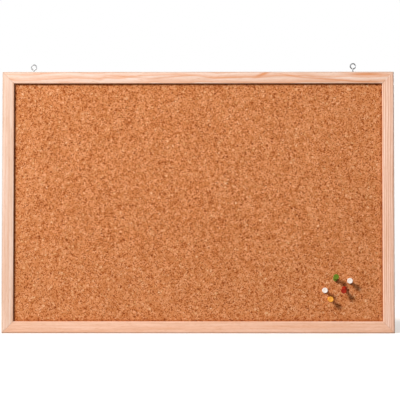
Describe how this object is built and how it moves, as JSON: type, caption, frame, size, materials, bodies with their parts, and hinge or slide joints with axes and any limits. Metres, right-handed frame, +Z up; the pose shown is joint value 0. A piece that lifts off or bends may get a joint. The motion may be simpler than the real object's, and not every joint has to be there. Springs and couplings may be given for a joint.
{
  "type": "pin board",
  "caption": "Framed cork pin board with a mitred pine frame, a layered pin-up panel, wire screw eyes along the top to hang it by, and coloured push pins.",
  "frame": {"origin": "middle of the top rail's back face, in the wall plane", "axes": "+Z up, +Y into the wall, +X to the right as seen from the front; the cork faces -Y"},
  "size_m": [0.6, 0.0282, 0.414],
  "materials": {
    "pine": "planed, clear matt",
    "cork": "granulated cork, unsealed",
    "softboard": "raw fibre",
    "hardboard": "raw, screen-marked back",
    "zinc_steel": "zinc plated",
    "bright_steel": "bright plated",
    "plastic_green": "moulded",
    "plastic_white": "moulded",
    "plastic_red": "moulded",
    "plastic_yellow": "moulded"
  },
  "bodies": {
    "board": {"top_rail": "pine", "right_rail": "pine", "bottom_rail": "pine", "left_rail": "pine", "cork_sheet": "cork", "softboard_core": "softboard", "hardboard_back": "hardboard", "mitre_nail_top_left_outer": "zinc_steel", "mitre_nail_top_left_inner": "zinc_steel", "mitre_nail_top_right_outer": "zinc_steel", "mitre_nail_top_right_inner": "zinc_steel", "mitre_nail_bottom_right_outer": "zinc_steel", "mitre_nail_bottom_right_inner": "zinc_steel", "mitre_nail_bottom_left_outer": "zinc_steel", "mitre_nail_bottom_left_inner": "zinc_steel", "panel_point_top_1": "zinc_steel", "panel_point_top_2": "zinc_steel", "panel_point_top_3": "zinc_steel", "panel_point_right_1": "zinc_steel", "panel_point_right_2": "zinc_steel", "panel_point_bottom_1": "zinc_steel", "panel_point_bottom_2": "zinc_steel", "panel_point_bottom_3": "zinc_steel", "panel_point_left_1": "zinc_steel", "panel_point_left_2": "zinc_steel"},
    "left_eye": {"screw_eye_left": "bright_steel"},
    "right_eye": {"screw_eye_right": "bright_steel"},
    "green_pin": {"pin_green_grip": "plastic_green", "pin_green_needle": "bright_steel"},
    "white_upper_pin": {"pin_white_upper_grip": "plastic_white", "pin_white_upper_needle": "bright_steel"},
    "red_pin": {"pin_red_grip": "plastic_red", "pin_red_needle": "bright_steel"},
    "white_lower_pin": {"pin_white_lower_grip": "plastic_white", "pin_white_lower_needle": "bright_steel"},
    "yellow_pin": {"pin_yellow_grip": "plastic_yellow", "pin_yellow_needle": "bright_steel"}
  },
  "joints": [
    {"name": "left_eye_turn", "type": "hinge", "parent": "board", "child": "left_eye", "pos_m": [-0.2525, -0.00835, 0.009], "axis": [0, 0, 1], "range_deg": [-90, 90]},
    {"name": "right_eye_turn", "type": "hinge", "parent": "board", "child": "right_eye", "pos_m": [0.238, -0.00835, 0.009], "axis": [0, 0, 1], "range_deg": [-90, 90]},
    {"name": "green_pin_pull", "type": "slide", "parent": "board", "child": "green_pin", "axis": [0.0448, -0.9501, 0.3087], "range_m": [-0.0006, 0.015]},
    {"name": "white_upper_pin_pull", "type": "slide", "parent": "board", "child": "white_upper_pin", "axis": [-0.0349, -0.998, 0.0523], "range_m": [-0.0006, 0.015]},
    {"name": "red_pin_pull", "type": "slide", "parent": "board", "child": "red_pin", "axis": [-0.1654, -0.938, -0.3048], "range_m": [-0.0006, 0.015]},
    {"name": "white_lower_pin_pull", "type": "slide", "parent": "board", "child": "white_lower_pin", "axis": [-0.0523, -0.998, 0.0349], "range_m": [-0.0006, 0.015]},
    {"name": "yellow_pin_pull", "type": "slide", "parent": "board", "child": "yellow_pin", "axis": [0.0349, -0.998, -0.0523], "range_m": [-0.0006, 0.015]}
  ]
}
